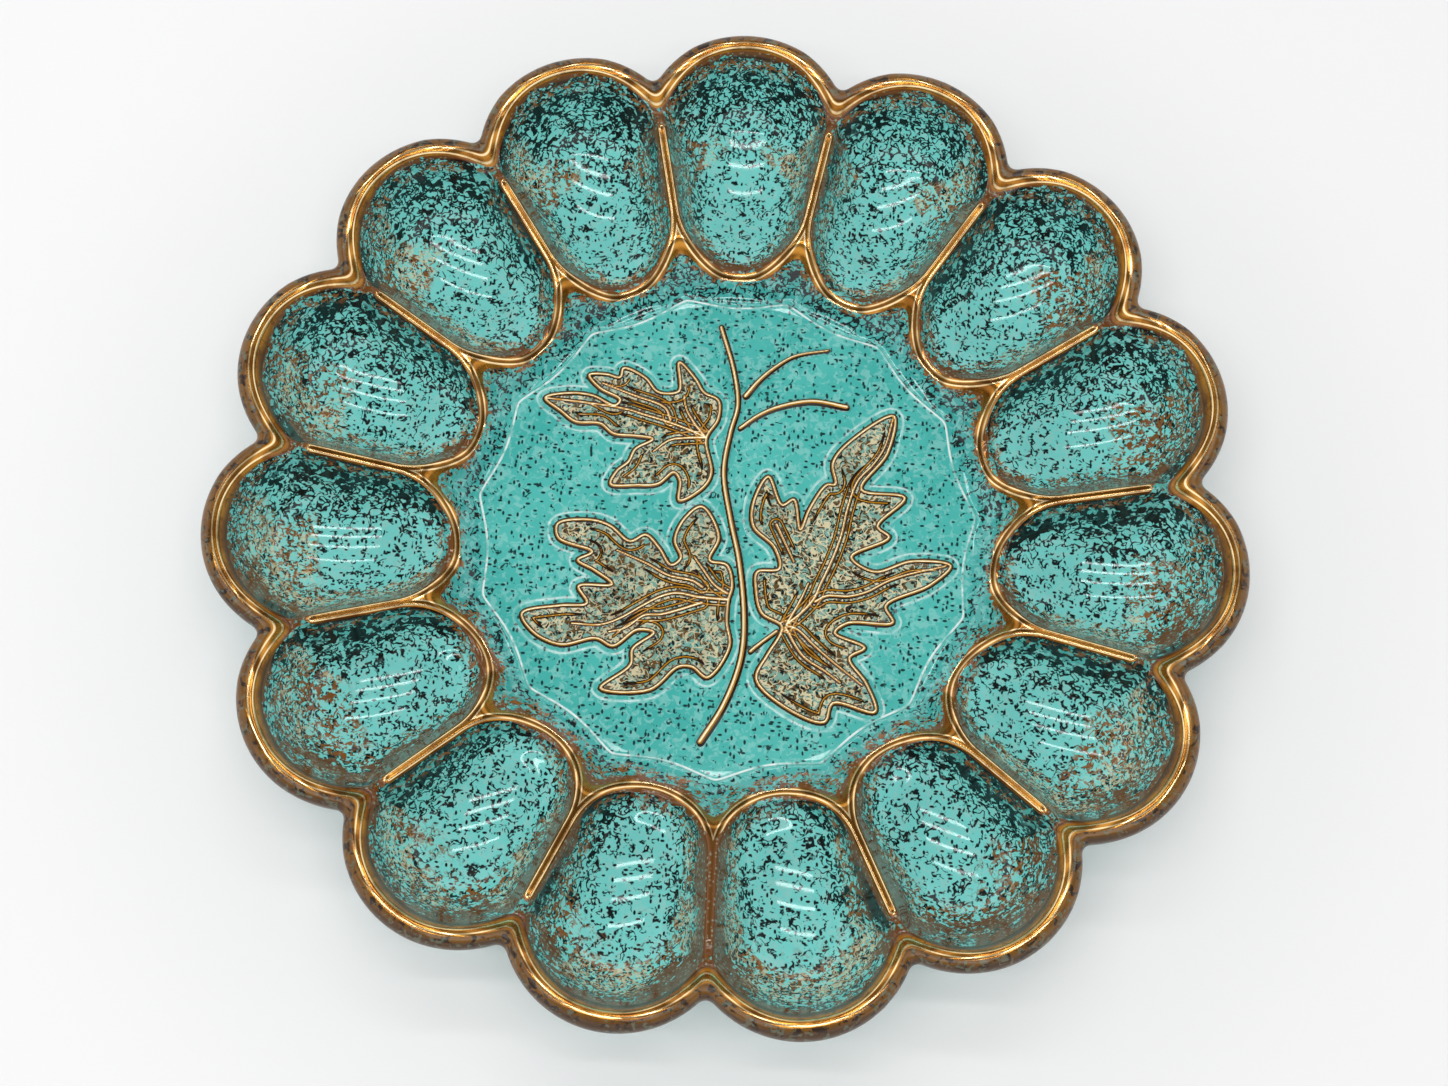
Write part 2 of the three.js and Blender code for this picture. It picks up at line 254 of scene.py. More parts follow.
def surface_normal(height, r, t):
    x, y, e = r * np.sin(t), r * np.cos(t), SLOPE_STEP

    def at(dx, dy):
        return height(np.hypot(x + dx, y + dy), np.arctan2(x + dx, y + dy))

    slope_x = (at(e, 0) - at(-e, 0)) / (2 * e)
    slope_y = (at(0, e) - at(0, -e)) / (2 * e)
    return unit(np.stack([-slope_x, -slope_y, np.ones_like(slope_x)], -1))


# Marks that the glaze reads at each vertex: millimetres inside the border of a cup, inside the outline and
# past the edge of the dish floor, how far down from the bronze crests, millimetres off the crests, the share
# of dark flecks, which also carries painted shade, and the sprig's gold lines and leaf grounds.
MARKS = ("edge", "rim", "shore", "far", "crest", "dark", "line", "leaf")
UNDERSIDE = (12, 40, 40, 2, 20, 0.2, 0, 0)  # looks like the middle of a cup
ON_FLOOR = (-50, 150, -60, 10, 30, 0, 0, 0)  # the middle of the dish floor
UNDER_RIM_MARKS = (("rim", 0, -12), ("far", -0.2, 2), ("crest", -0.5, 8))  # from the lip inwards

# How the glaze spreads. Three values in a row are for walls that face away from the photograph's viewer,
# towards the viewer and sideways. A span goes from where something starts to where it is complete.
FACING_SPAN = (0.1, 0.75)  # of a normal's y, with its sign
WALL_SPAN = (0.05, 0.35)  # of a normal's z below one
CUP_SPAN = (0.5, 3)  # inside the border of a cup
OUTER_SPAN = (10, 38)  # inside the outline, from the outer end of a cup to its middle
LOW_SPAN = (60, 110)  # towards the viewer, from the middle of the tray to the lowest cups
RIM_BRONZE = (8.0, 6.4, 7.6)  # width of the bronze rim, of the solid band below it, and of its broken fringe
RIM_BAND = (0.0, 0.2, 0.0)
RIM_FRINGE = (1.6, 1.3, 1.8)
RIDGE_BRONZE = 1.5  # the same for the ridges, where the lower cups and the outer ends have more of it
RIDGE_BAND = (3.2, 0.0, 0.0)
RIDGE_BAND_LOW = (0.0, 0.0, 1.6)
RIDGE_FRINGE = (6.0, 1.0, 3.0)
RIDGE_FRINGE_OUTER = (4.0, 0.0, 4.0)
LAND_BRONZE = 0.5  # the same for the lands and the crest of the dish wall
DISH_FRINGE = (4.8, 0.8, 0.8)
LAND_FRINGE = 0.7
RIDGE_END = 3  # the lines of a ridge end where it leaves the rim
RIDGE_END_SPAN = (10, 13)
BARE_DROP = 4  # the lowest ridge has no metal: how far towards the viewer and to the side it lies
BARE_SPAN = (96, 106)
BARE_SIDE_SPAN = (10, 16)
NO_COPPER = 4  # copper in the outer halves of the cups, as if they were so much nearer to a crest
COPPER = 3.2
COPPER_SHARE = (0.6, 0.0, 1.0)
COPPER_START = (11, 18)
COPPER_END = (26, 38)
COPPER_LESS_LOW = 0.3
DARK_CUP = 0.22  # share of dark flecks in a cup, and how much more there is on its walls
DARK_WALL = 0.22
# painted shade: the dark flecks thicken on walls that face the viewer, just under the ridges and in the
# saddles
SHADE_TOWARDS_VIEWER = 0.22
DARK_OUTER = 0.08
SHADE_UNDER_RIDGE = 0.45
UNDER_RIDGE_SPAN = (3, 9)
UNDER_RIM_SPAN = (6, 16)
SHADE_IN_SADDLE = 0.4
SADDLE_SPAN = (9, 13)
DARK_BORDER = 0.15
BORDER_SPAN = (4, 14)
DARK_DISH_WALL = 0.25
# painted shade on the dish wall where it faces the viewer
DISH_SHADE_TOWARDS_VIEWER = 0.3
DISH_WALL_SPAN = (-0.5, 1)


def glaze_marks(r, t, normal):
    """The marks of points on the top, in the order of MARKS."""
    border = place_in_cup(r, t, SCALLOP_RADIUS - ROLL_WIDTH).off_border
    inset = rim_inset(r, t)
    shore = r - floor_radius(t)
    x, y = r * np.sin(t), r * np.cos(t)
    away, towards = smooth_step(normal[..., 1], *FACING_SPAN), smooth_step(-normal[..., 1], *FACING_SPAN)
    facing = np.stack([away, towards, 1 - away - towards], -1)
    in_cup = smooth_step(border, *CUP_SPAN)
    outer = fade(inset, *OUTER_SPAN)
    low = smooth_step(-y, *LOW_SPAN)

    edge = border + RIDGE_END * fade(inset, *RIDGE_END_SPAN)
    off_ridge = edge - RIDGE_BRONZE
    off_dish = wall_run(t, LAND_CUT) - LAND_BRONZE - shore
    off_rim = inset - facing @ RIM_BRONZE
    bare = smooth_step(-y, *BARE_SPAN) * fade(np.abs(x), *BARE_SIDE_SPAN)
    crest = np.minimum(np.maximum(off_ridge, off_dish) + BARE_DROP * bare, off_rim)

    ridge_band = facing @ RIDGE_BAND + low * (facing @ RIDGE_BAND_LOW)
    from_ridge = (off_ridge - ridge_band) / (facing @ RIDGE_FRINGE + outer * (facing @ RIDGE_FRINGE_OUTER))
    from_dish = off_dish / (facing @ DISH_FRINGE + LAND_FRINGE * flower(t) ** 2)
    from_rim = (off_rim - facing @ RIM_BAND) / (facing @ RIM_FRINGE)
    far = np.minimum(np.maximum(from_ridge, from_dish), from_rim)
    copper = smooth_step(inset, *COPPER_START) * fade(inset, *COPPER_END) * (1 - COPPER_LESS_LOW * low)
    far = np.minimum(far, NO_COPPER - COPPER * in_cup * copper * (facing @ COPPER_SHARE))

    wall = smooth_step(1 - normal[..., 2], *WALL_SPAN)
    # painted shade: more dark flecks on walls facing the viewer just under the ridges, and in the saddles of
    # all but the nearest cups
    shade_under_ridge = towards * fade(border, *UNDER_RIDGE_SPAN) * smooth_step(inset, *UNDER_RIM_SPAN)
    saddle = fade(inset, *SADDLE_SPAN) * flower(t) ** 6 * (1 - low)
    dark = DARK_CUP + DARK_WALL * wall + SHADE_TOWARDS_VIEWER * towards + DARK_OUTER * outer
    dark = dark + SHADE_UNDER_RIDGE * shade_under_ridge + SHADE_IN_SADDLE * saddle
    dark = dark + DARK_BORDER * fade(border, *BORDER_SPAN) * (1 - towards)
    dark_dish = smooth_step(shore, *DISH_WALL_SPAN) * (DARK_DISH_WALL + DISH_SHADE_TOWARDS_VIEWER * towards)
    dark = in_cup * dark + (1 - in_cup) * dark_dish
    none = np.zeros_like(r)
    return np.stack([edge, inset, shore, far, crest, dark, none, none], -1)


# Meshes
def crowded(count, share):
    """Steps from -1 to 1, closer together at both ends."""
    return np.sin(np.linspace(-1, 1, count) * share * math.pi / 2) / math.sin(share * math.pi / 2)


def around(angles):
    """The angles of one cup, repeated for all of them."""
    return np.concatenate([angles[:-1] + 2 * HALF * k for k in range(CUP_COUNT)])


CUP_ANGLES = HALF * crowded(CUP_COLUMNS, CUP_CROWDING)
DISH_ANGLES = around(CUP_ANGLES)
RIM_ANGLES = around(HALF * crowded(RIM_COLUMNS, RIM_CROWDING))


def ring(count):
    """Numbers of the points of a ring, and of the points after them."""
    step = np.arange(count)
    return step, (step + 1) % count


def ring_normals(points):
    """Normals of rings of points, which point up where the next ring lies further out."""
    along = np.roll(points, -1, axis=1) - np.roll(points, 1, axis=1)
    return unit(np.cross(along, np.gradient(points, axis=0)))


def grid_faces(rows, columns, wrap):
    i, j = np.meshgrid(np.arange(rows - 1), np.arange(columns if wrap else columns - 1), indexing="ij")
    k = (j + 1) % columns
    quads = [i * columns + j, i * columns + k, (i + 1) * columns + k, (i + 1) * columns + j]
    return np.stack(quads, -1).reshape(-1, 4)


class Shell:
    """A closed mesh, with a normal for each corner so that the shading runs on across the seams."""

    def __init__(self):
        self.points, self.faces, self.normals, self.marks = [], [], [], []
        self.count = 0

    def add_points(self, points, marks):
        points = np.asarray(points, float).reshape(-1, 3)
        marks = np.asarray(marks, float).reshape(-1, len(MARKS))
        first = self.count
        self.points.append(points)
        self.marks.append(np.broadcast_to(marks, (len(points), len(MARKS))))
        self.count += len(points)
        return first

    def add_faces(self, faces, normals):
        self.faces.extend(faces.tolist())
        self.normals.append(np.asarray(normals, float).reshape(-1, 3))

    def add_surface(self, points, normals, marks, faces):
        """Adds points and the faces between them, which number these points from zero."""
        first = self.add_points(points, marks)
        self.add_faces(faces + first, normals.reshape(-1, 3)[faces])
        return first

    def add_walls(self, walls):
        """Adds faces of four corners with flat shading."""
        corner = np.concatenate(self.points)[walls]
        normal = unit(np.cross(corner[:, 2] - corner[:, 0], corner[:, 3] - corner[:, 1]))
        self.add_faces(walls, np.repeat(normal, 4, axis=0))

    def join_rings(self, one, other, count):
        """Adds a wall between two rings, which are named by their first points."""
        step, ahead = ring(count)
        self.add_walls(np.stack([one + step, one + ahead, other + ahead, other + step], -1))

    def build(self, node, slot, material):
        name = node + ("_clay" if slot == "bare_clay" else "_glazed")
        mesh = bpy.data.meshes.new(name)
        mesh.from_pydata((np.concatenate(self.points) / MM_PER_M).tolist(), [], self.faces)
        marks = np.concatenate(self.marks)
        for column, mark in enumerate(MARKS):
            layer = mesh.attributes.new(mark, "FLOAT", "POINT")
            layer.data.foreach_set("value", np.ascontiguousarray(marks[:, column], dtype=np.float32))
        mesh.polygons.foreach_set("use_smooth", np.ones(len(mesh.polygons), dtype=bool))
        mesh.normals_split_custom_set(np.concatenate(self.normals).tolist())
        mesh.materials.append(material)
        piece = bpy.data.objects.new(name, mesh)
        bpy.context.scene.collection.objects.link(piece)
        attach(piece, "root")
        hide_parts(node)


def build_rim(node, material):
    t = RIM_ANGLES
    outer = outer_radius(t)
    level = np.linspace(RIM_WIDTH, ROLL_WIDTH, RIM_TOP_ROWS)[:-1]
    rolled = ROLL_WIDTH * (1 - np.sin(np.linspace(0, math.pi / 2, ROLL_ROWS)))
    rows = [on_surface(top_height, outer - inset, t) for inset in (*level, *rolled)]
    edge, under_lip = rows[-1][:, 2], under_height(outer - LIP, t)
    for turn in np.linspace(0, math.pi / 2, LIP_ROWS)[1:]:
        r = outer - LIP * (1 - math.cos(turn))
        rows.append(around_axis(r, t, edge - (edge - under_lip) * math.sin(turn)))
    below = len(rows)
    for inset in np.linspace(LIP, RIM_WIDTH, RIM_UNDER_ROWS)[1:]:
        rows.append(on_surface(under_height, outer - inset, t))
    points = np.stack(rows)
    normal = ring_normals(points)
    normal[0] = surface_normal(top_height, outer - RIM_WIDTH, t)
    normal[-1] = -surface_normal(under_height, outer - RIM_WIDTH, t)
    r = np.hypot(points[..., 0], points[..., 1])
    marks = glaze_marks(r, np.broadcast_to(t, r.shape), normal)
    for mark, start, end in UNDER_RIM_MARKS:
        marks[below:, :, MARKS.index(mark)] = np.linspace(start, end, len(rows) - below)[:, None]
    shell = Shell()
    shell.add_surface(points, normal, marks, grid_faces(len(rows), len(t), True))
    shell.join_rings((len(rows) - 1) * len(t), 0, len(t))
    shell.build(node, "bronze_glaze", material)


def build_cup(node, turn, material):
    u = (crowded(CUP_ROWS, ROW_CROWDING) + 1) / 2
    t = np.broadcast_to(CUP_ANGLES, (CUP_ROWS, CUP_COLUMNS))
    start, end = dish_edge(t), outer_radius(t) - RIM_WIDTH
    r = start + (end - start) * u[:, None]
    t = t + turn
    shell = Shell()
    faces = grid_faces(CUP_ROWS, CUP_COLUMNS, False)
    normal = surface_normal(top_height, r, t)
    shell.add_surface(on_surface(top_height, r, t), normal, glaze_marks(r, t, normal), faces)
    normal = -surface_normal(under_height, r, t)
    low = shell.add_surface(on_surface(under_height, r, t), normal, UNDERSIDE, faces[:, ::-1])
    index = np.arange(CUP_ROWS * CUP_COLUMNS).reshape(CUP_ROWS, CUP_COLUMNS)
    border = np.concatenate([index[0, :-1], index[:-1, -1], index[-1, :0:-1], index[:0:-1, 0]])
    ahead = np.roll(border, -1)
    shell.add_walls(np.stack([border, border + low, ahead + low, ahead], -1))
    shell.build(node, "turquoise_glaze", material)


def add_dish_side(shell, height, up, floor_shares, wall_rows, middle, middle_marks):
    """Adds the top of the dish or, if up is -1, its underside, and gives the first point of its last ring."""
    floor, edge = floor_radius(DISH_ANGLES), dish_edge(DISH_ANGLES)
    rings = [floor * share for share in floor_shares]
    rings += [floor + (edge - floor) * share for share in np.linspace(0, 1, wall_rows)]
    r = np.stack(rings)
    t = np.broadcast_to(DISH_ANGLES, r.shape)
    normal = up * surface_normal(height, r, t)
    marks = glaze_marks(r, t, normal) if up > 0 else UNDERSIDE
    first = shell.add_surface(on_surface(height, r, t), normal, marks, grid_faces(*r.shape, True)[:, ::up])
    hub = shell.add_points([[0, 0, middle]], middle_marks)
    step, ahead = ring(len(DISH_ANGLES))
    one, other = (ahead, step) if up > 0 else (step, ahead)
    fan = np.stack([np.full_like(step, hub), first + one, first + other], -1)
    shell.add_faces(fan, np.broadcast_to((0, 0, up), (*fan.shape, 3)))
    return first + (len(r) - 1) * len(DISH_ANGLES)


def build_dish(node, material):
    shell = Shell()
    top = add_dish_side(shell, top_height, 1, FLOOR_SHARES, WALL_ROWS, dish_floor(0.0), ON_FLOOR)
    low = add_dish_side(shell, under_height, -1, UNDER_SHARES, UNDER_ROWS, DISH_UNDERSIDE, UNDERSIDE)
    shell.join_rings(top, low, len(DISH_ANGLES))
    shell.build(node, "turquoise_glaze", material)


def build_foot(node, material):
    half = FOOT_WIDTH / 2
    inner, outer = FOOT_RADIUS - half + FOOT_TAPER, FOOT_RADIUS + half - FOOT_TAPER
    turns = np.linspace(0, math.pi / 2, FOOT_EDGE_ROWS)
    profile = [(FOOT_RADIUS - half, DISH_UNDERSIDE)]
    profile += [(inner + FOOT_EDGE * (1 - math.cos(a)), FOOT_EDGE * (1 - math.sin(a))) for a in turns]
    profile += [(outer - FOOT_EDGE * (1 - math.sin(a)), FOOT_EDGE * (1 - math.cos(a))) for a in turns]
    profile.append((FOOT_RADIUS + half, DISH_UNDERSIDE))
    t = 2 * math.pi * np.arange(FOOT_COLUMNS) / FOOT_COLUMNS
    points = np.stack([around_axis(r, t, np.full_like(t, z)) for r, z in profile])
    faces = grid_faces(len(profile), FOOT_COLUMNS, True)[:, ::-1]
    shell = Shell()
    shell.add_surface(points, -ring_normals(points), UNDERSIDE, faces)
    shell.join_rings(0, (len(profile) - 1) * FOOT_COLUMNS, FOOT_COLUMNS)
    shell.build(node, "bare_clay", material)


# The sprig: outlines, veins and stems on the dish floor, the outlines and stems as in the part's source
UPPER_LEFT_LEAF = [
    (-8, 31), (-4.4, 38), (-4.6, 44.4), (-9.5, 47), (-12.5, 51.5), (-18.2, 57), (-17.7, 47.2), (-21, 46),
    (-25, 46.6), (-29, 51), (-36.4, 54), (-37.4, 50.8), (-42, 51.6), (-47.6, 51), (-43.8, 46.6),
    (-37, 43), (-38.5, 41), (-46, 44), (-54, 44.4), (-61.5, 42.3), (-56, 38), (-51, 34.6), (-43, 34.4),
    (-38.4, 31.2), (-31, 30.8), (-25.6, 30), (-31, 26.4), (-33, 22), (-36.6, 18.6), (-38.4, 14),
    (-30, 14), (-23, 14.8), (-18, 19), (-16, 16.4), (-15.8, 9.6), (-8, 14.6), (-5.8, 19.5),
]
LOWER_LEFT_LEAF = [
    (1.6, -23), (2.6, -18), (0.6, -11.2), (-5, -9.8), (-2.4, -2), (-8.4, 8), (-14, 3.4), (-16.6, -3.8),
    (-14.4, -9.6), (-17.4, -12), (-21.4, -6.6), (-26, -2.4), (-31, -4.8), (-37.6, 0), (-44, 1.7),
    (-54.6, -0.2), (-54, -5), (-43, -9), (-47.4, -12), (-42, -15), (-36, -19.4), (-46.6, -20.6),
    (-43.6, -26), (-52, -27.2), (-64, -30.4), (-60, -36.4), (-51, -40), (-40, -37.4), (-34.4, -39.6),
    (-27, -34), (-21.8, -34.6), (-28.2, -40.2), (-28.6, -45.4), (-37.6, -53.4), (-22, -53.2),
    (-13.4, -45.4), (-9, -45.2), (-4, -48.4), (2.6, -38), (1.4, -30),
]
RIGHT_LEAF = [
    (18.8, -30.4), (12.4, -26.6), (10.2, -19), (10.4, -13), (17.4, -11.6), (15.6, -4.6), (8.6, 2),
    (8.2, 10), (12.8, 19.2), (17.6, 9.8), (21.4, 11.8), (23.8, 1.8), (26.4, 8.6), (31.8, 17.2),
    (34.6, 17.6), (33.6, 24.6), (38, 31.4), (53.2, 41.8), (51.4, 28.8), (43.2, 16.2), (57.4, 14),
    (48.8, 4), (52.6, 0.4), (40.6, -6.6), (48, -11.2), (60, -7.2), (72.6, -8.2), (66, -15), (52, -22.4),
    (54.4, -27.8), (40, -28.6), (36, -32), (45.6, -36.4), (40.8, -40), (46.4, -48), (49.4, -57),
    (36, -54.8), (33.4, -61), (19.6, -56), (11.4, -48), (14.6, -40.2), (18.4, -33.4),
]
UPPER_LEFT_VEINS = [
    [(-8.2, 31.5), (-12, 33.2), (-20, 36), (-30, 38.7), (-34, 39.8), (-48, 41.5), (-61, 42.3)],
    [(-8.2, 31.5), (-12, 36), (-15, 41), (-16, 45.5)],
    [(-8.2, 31.5), (-15, 31), (-20, 30), (-25, 26)],
    [(-20, 37), (-22, 41), (-33, 45), (-43, 48.5)],
]
LOWER_LEFT_VEINS = [
    [(1.3, -22.6), (-8, -22.2), (-15, -21.2), (-20, -22.5), (-26, -26), (-33, -30.5), (-39, -32.8),
     (-48, -32.8)],
    [(-7, -18.8), (-10, -17), (-18, -15.5), (-25, -12), (-35, -8)],
    [(1, -20.5), (-3, -18), (-7, -13), (-10, -9)],
    [(-7, -24), (-15, -27), (-20, -28.5), (-25, -29), (-31, -33.5), (-36, -35)],
]
RIGHT_VEINS = [
    [(20.5, -30), (25, -26), (29, -21), (31, -16), (34, -9), (37, 0), (39, 10), (42, 19), (47, 25),
     (50.5, 31), (53, 41)],
    [(29.5, -22), (33, -20), (40, -19.8), (46, -18), (52, -14.5), (58, -12), (71, -8.4)],
    [(20.5, -30.5), (24, -31.5), (29, -36), (35, -41), (45, -48.5)],
    [(20, -31), (26, -40), (33, -44.5), (38, -48)],
    [(16, 3), (19, -3), (22, -9)],
    [(20.5, -30), (22, -27), (25, -21), (27, -16)],
]
MAIN_STEM = [
    (-5.3, -69), (1.5, -57), (6.2, -42.5), (6.9, -30), (4.5, -10), (1, 4.5), (-1.8, 20), (-0.2, 33.5),
    (1.8, 43), (0, 55), (-4.8, 70),
]
UPPER_TWIG = [(4.3, 46.5), (9, 52.5), (14.5, 57.5), (20, 61), (31, 63.6)]
LOWER_TWIG = [(2.9, 35.3), (9, 40), (15, 43), (26, 45.6), (37.5, 44.2)]
LEAF_STALK = [(9.3, -39.2), (12.4, -36.4), (17.4, -32.3)]
LEAVES = {
    "leaf_upper_left": (UPPER_LEFT_LEAF, UPPER_LEFT_VEINS),
    "leaf_lower_left": (LOWER_LEFT_LEAF, LOWER_LEFT_VEINS),
    "leaf_right": (RIGHT_LEAF, RIGHT_VEINS),
}
# Each stem with its half width at both ends, and its height
STEMS = {
    "sprig_stem": (MAIN_STEM, 1.45, 1.0, 1.3),
    "twig_upper": (UPPER_TWIG, 1.3, 0.6, 1.1),
    "twig_lower": (LOWER_TWIG, 1.0, 1.3, 1.0),
    "leaf_stalk": (LEAF_STALK, 1.0, 0.9, 1.0),
}
CURVE_STEPS = 8
LINE_REACH = 4.0  # further from a line than this, no distance is worked out
FAR_OFF = 1000.0
LEAF_HEIGHT = 0.35  # the ground of a leaf, sloping over its edge
LEAF_SLOPE = (-0.9, 0.6)
LEAF_SPAN = (-0.6, 1.2)  # where the leaf's own colours start
LEAF_DARK = 0.42
OUTLINE_HEIGHT = 0.75  # a bead along the outline
OUTLINE_HALF = 1.15
OUTLINE_LINE = 0.95
VEIN_HEIGHT = 0.6  # the veins over the leaf's ground, and how much lower and narrower they end
VEIN_FALL = 0.5
VEIN_HALF = 1.0
VEIN_TAPER = 0.35
VEIN_FOOT = 0.35
STEM_FOOT = 0.4
STEM_LINE = 1.1  # width of a stem's gold line, as a share of its own
STEM_END_FALL = 0.35
STEM_END_SPAN = (0.35, 0.5)
HALO_INSET = 2.6  # a fine raised edge around each leaf, with the floor bead's painted highlight on it
HALO_HEIGHT = 0.16
HALO_WIDTH = 0.6
NO_HALO = 40.0
ECHO_OFF = 2.0  # thin painted highlight lines beside the veins, and along parts of the outlines
ECHO_WIDTH = 0.5
ECHO_MARK = 0.9
ECHO_END_SPAN = (0.6, 0.8)
ECHO_OUTLINE_OFF = 1.0
ECHO_BREAKS = 45.0
ECHO_BREAK_SPAN = (-0.2, 0.5)
LINE_SHAPE = (0.2, 0.6, 1.2)  # a gold line's middle, where its painted highlight lies, and its inner and outer reach, as shares of its half width
SPRIG_PITCH = 0.34
SPRIG_REACH = 76.5
SPRIG_LIFT = 0.03  # keeps its thin edges clear of the floor
SPRIG_SINK = 0.3
LEAST_HEIGHT = 1e-4


def between(t, start, end, a, b):
    return (end - t) / (end - start) * a + (t - start) / (end - start) * b


def curve_through(points, closed):
    """A smooth curve through drawn points, without overshoot at close ones."""
    p = np.asarray(points, float)
    if closed:
        p = np.concatenate([p[-1:], p, p[:2]])
    else:
        p = np.concatenate([2 * p[:1] - p[1:2], p, 2 * p[-1:] - p[-2:-1]])
    knots = np.concatenate([[0], np.cumsum(np.sqrt(np.linalg.norm(np.diff(p, axis=0), axis=1)))])
    out = []
    for k in range(1, len(p) - 2):
        t0, t1, t2, t3 = knots[k - 1:k + 3]
        t = np.linspace(t1, t2, CURVE_STEPS, endpoint=False)[:, None]
        a1 = between(t, t0, t1, p[k - 1], p[k])
        a2 = between(t, t1, t2, p[k], p[k + 1])
        a3 = between(t, t2, t3, p[k + 1], p[k + 2])
        out.append(between(t, t1, t2, between(t, t0, t2, a1, a2), between(t, t1, t3, a2, a3)))
    out.append(p[-2:-1])
    return np.concatenate(out)


def distance_to(x, y, line):
    """Distance to a line of points, how far along it from 0 to 1, and the side: 1 right of it, -1 left."""
    best, along, side = np.full(x.shape, FAR_OFF), np.zeros(x.shape), np.ones(x.shape)
    (left, lowest), (right, highest) = line.min(0) - LINE_REACH, line.max(0) + LINE_REACH
    near = (x > left) & (x < right) & (y > lowest) & (y < highest)
    px, py = x[near], y[near]
    low, share, turn = best[near], along[near], side[near]
    count = len(line) - 1
    for k in range(count):
        (ax, ay), (bx, by) = line[k], line[k + 1]
        dx, dy = bx - ax, by - ay
        length = max(dx * dx + dy * dy, TINY ** 2)
        s = np.clip(((px - ax) * dx + (py - ay) * dy) / length, 0, 1)
        d = np.hypot(px - ax - s * dx, py - ay - s * dy)
        closer = d < low
        low[closer] = d[closer]
        share[closer] = (k + s[closer]) / count
        turn[closer] = np.where((px - ax) * dy > (py - ay) * dx, 1, -1)[closer]
    best[near], along[near], side[near] = low, share, turn
    return best, along, side


def inside(x, y, line):
    found = np.zeros(x.shape, bool)
    for (ax, ay), (bx, by) in zip(line[:-1], line[1:]):
        if ay == by:
            continue
        crosses = (ay > y) != (by > y)
        found ^= crosses & (x < (bx - ax) * (y - ay) / (by - ay) + ax)
    return found


def bead(d, half):
    return np.where(d < half, np.cos(np.minimum(d / half, 1) * math.pi / 2) ** 2, 0)


def line_mark(signed, half):
    """One on a line just inside an edge, falling quickly inwards and slowly outwards. Its high part gets a
    painted highlight and its low fringes painted shade.
    """
    middle, inner, outer = (share * half for share in LINE_SHAPE)
    off = signed - middle
    return np.clip(1 - np.where(off > 0, off / inner, -off / outer), 0, 1)


def echo_highlight(d):
    """A thin pale line, a painted highlight, that runs beside a vein."""
    return ECHO_MARK * np.clip(1 - np.abs(d - ECHO_OFF) / ECHO_WIDTH, 0, 1)


def leaf_field(x, y, outline, veins):
    """Height over the floor, gold line mark, leaf mark and distance to the raised edge around a leaf."""
    line = curve_through(outline, True)
    d, share, _ = distance_to(x, y, line)
    within = inside(x, y, line)
    signed = np.where(within, d, -d)
    height = LEAF_HEIGHT * smooth_step(signed, *LEAF_SLOPE) + OUTLINE_HEIGHT * bead(d, OUTLINE_HALF)
    broken = smooth_step(np.sin(share * ECHO_BREAKS), *ECHO_BREAK_SPAN)
    mark = np.maximum(line_mark(signed, OUTLINE_LINE), broken * echo_highlight(signed - ECHO_OUTLINE_OFF))
    for vein in veins:
        v, share, side = distance_to(x, y, curve_through(vein, False))
        half = VEIN_HALF - VEIN_TAPER * share
        tall = LEAF_HEIGHT + VEIN_HEIGHT * (1 - VEIN_FALL * share)
        height = np.maximum(height, tall * bead(v, half + VEIN_FOOT))
        mark = np.maximum(mark, line_mark(-v * side, half))
        mark = np.maximum(mark, fade(share, *ECHO_END_SPAN) * within * echo_highlight(v))
    halo = np.abs(signed + HALO_INSET)
    height = np.maximum(height, HALO_HEIGHT * bead(halo, HALO_WIDTH))
    return SimpleNamespace(height=height, line=mark, leaf=smooth_step(signed, *LEAF_SPAN), halo=halo)


def stem_field(x, y, points, start, end, tall):
    """The same for a stem, which has no leaf mark and no raised edge around it."""
    d, share, side = distance_to(x, y, curve_through(points, False))
    half = start + (end - start) * share
    tall = tall * (1 - STEM_END_FALL * smooth_step(np.abs(share - 0.5), *STEM_END_SPAN))
    return SimpleNamespace(
        height=tall * bead(d, half + STEM_FOOT),
        line=line_mark(-d * side, STEM_LINE * half),
        leaf=np.zeros_like(d),
        halo=np.full_like(d, NO_HALO),
    )


def cell_owners(owner, shown):
    """The piece that owns each cell of a grid, by the first corner of the cell that shows, or -1."""
    low, high = slice(None, -1), slice(1, None)
    found = np.full_like(owner[low, low], -1)
    for rows, columns in ((low, low), (high, low), (low, high), (high, high)):
        found = np.where((found < 0) & shown[rows, columns], owner[rows, columns], found)
    return found


def joined_at_sides(cells):
    """Adds cells of a grid until no two meet at a corner only."""
    cells = cells.copy()
    while True:
        falling = cells[:-1, :-1] & cells[1:, 1:] & ~cells[:-1, 1:] & ~cells[1:, :-1]
        rising = cells[:-1, 1:] & cells[1:, :-1] & ~cells[:-1, :-1] & ~cells[1:, 1:]
        if not (falling.any() or rising.any()):
            return cells
        cells[:-1, 1:] |= falling
        cells[:-1, :-1] |= rising


def raised_piece(points, normal, marks, cells):
    """A closed mesh of the chosen cells of a grid, down to a flat underside below the dish floor."""
    columns = points.shape[1]
    i, j = np.nonzero(cells)
    corner = i * columns + j
    quads = np.stack([corner, corner + 1, corner + columns + 1, corner + columns], -1)
    used, quads = np.unique(quads, return_inverse=True)
    quads = quads.reshape(-1, 4)
    top = points.reshape(-1, 3)[used]
    underside = top * (1, 1, 0) + (0, 0, DISH_FLOOR - FLOOR_SAG - SPRIG_SINK)
    shell = Shell()
    shell.add_surface(top, normal.reshape(-1, 3)[used], marks.reshape(-1, len(MARKS))[used], quads)
    low = shell.add_surface(underside, np.broadcast_to((0, 0, -1), top.shape), UNDERSIDE, quads[:, ::-1])
    edges = np.concatenate([quads[:, [k, (k + 1) % 4]] for k in range(4)])
    key = edges.min(1) * len(used) + edges.max(1)
    _, place, times = np.unique(key, return_index=True, return_counts=True)
    start, end = edges[place[times == 1]].T
    shell.add_walls(np.stack([start + low, end + low, end, start], -1))
    return shell


